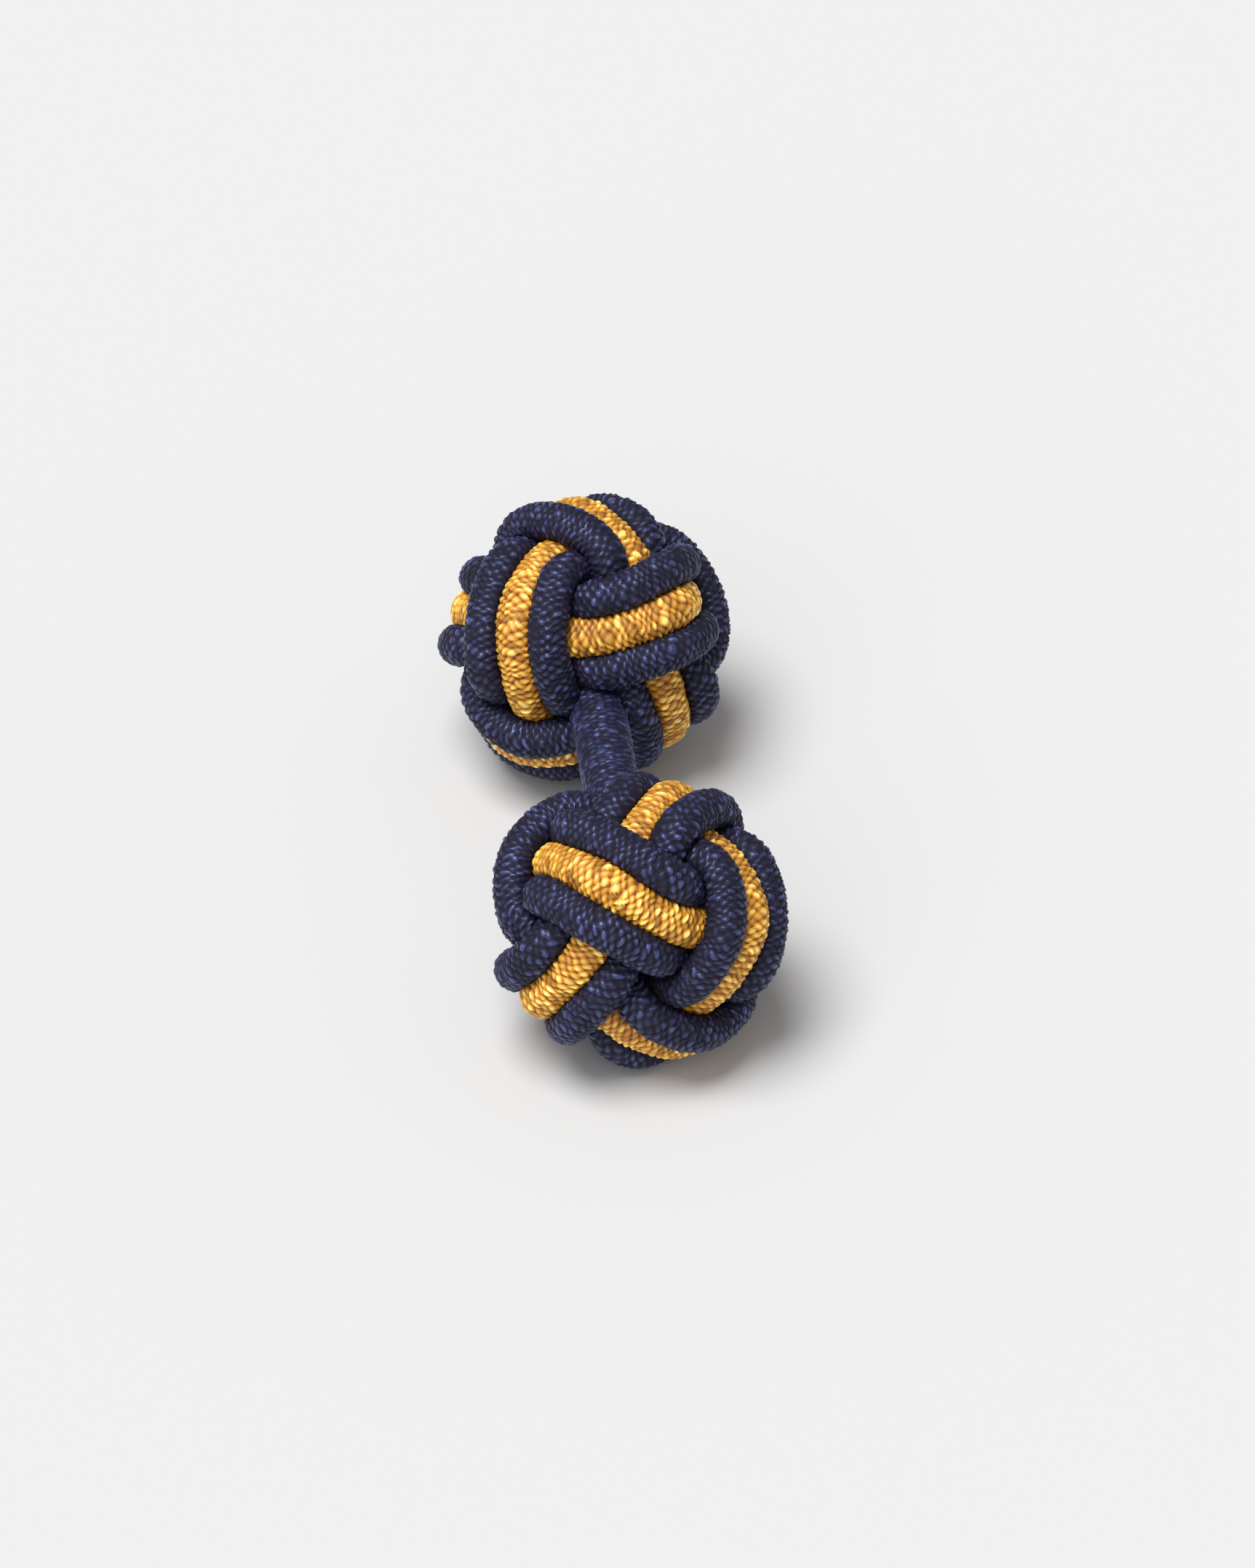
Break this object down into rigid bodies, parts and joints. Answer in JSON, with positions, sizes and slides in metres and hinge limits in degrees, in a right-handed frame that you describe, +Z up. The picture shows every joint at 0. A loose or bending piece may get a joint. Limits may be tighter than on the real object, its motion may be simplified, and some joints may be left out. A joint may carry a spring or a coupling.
{
  "type": "silk knot cuff button",
  "caption": "Silk knot cuff button: ball knots woven from braided navy and gold cord, joined by a short elastic link that passes through the buttonholes of a cuff.",
  "frame": {"origin": "on the table, under the middle of the link", "axes": "+X along the link towards the right knot, +Z up from the table"},
  "size_m": [0.0288, 0.0126, 0.0122],
  "materials": {
    "navy_braid": "silky braid",
    "gold_braid": "silky braid",
    "link_elastic": "covered elastic"
  },
  "bodies": {
    "root": {"right_knot_outer_navy_cord": "navy_braid", "right_knot_gold_cord": "gold_braid", "right_knot_inner_navy_cord": "navy_braid", "left_knot_outer_navy_cord": "navy_braid", "left_knot_gold_cord": "gold_braid", "left_knot_inner_navy_cord": "navy_braid", "link_cord": "link_elastic"}
  },
  "joints": []
}
